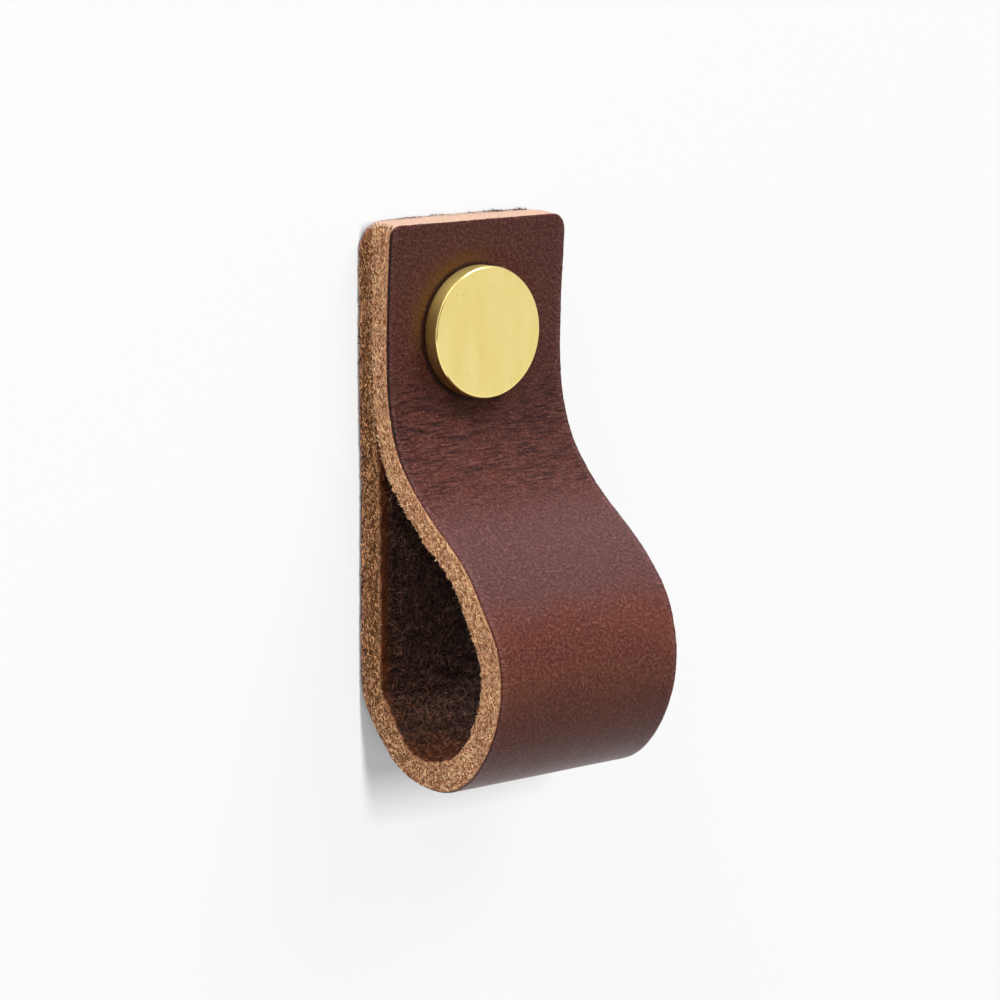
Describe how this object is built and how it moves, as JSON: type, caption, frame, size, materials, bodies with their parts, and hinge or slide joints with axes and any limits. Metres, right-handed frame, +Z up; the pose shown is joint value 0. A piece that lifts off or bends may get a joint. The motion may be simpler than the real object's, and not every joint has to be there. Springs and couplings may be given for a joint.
{
  "type": "leather strap pull",
  "caption": "Folded leather strap pull: a strip looped forward and clamped to a door by a round brass knob, with a screw through the door from behind.",
  "frame": {"origin": "where the screw's axis meets the door's face, at the middle of the strap's width", "axes": "+Z up, +Y into the door along the screw's axis, -Y out towards the hand, +X across the strap to the right"},
  "size_m": [0.026, 0.0471, 0.0644],
  "materials": {
    "leather": "smooth waxed grain, tan cut edges, rough suede flesh side",
    "brass": "satin face with a polished rim",
    "steel": "bright zinc plated"
  },
  "bodies": {
    "root": {"strap": "leather", "knob": "brass", "screw": "steel"}
  },
  "joints": []
}
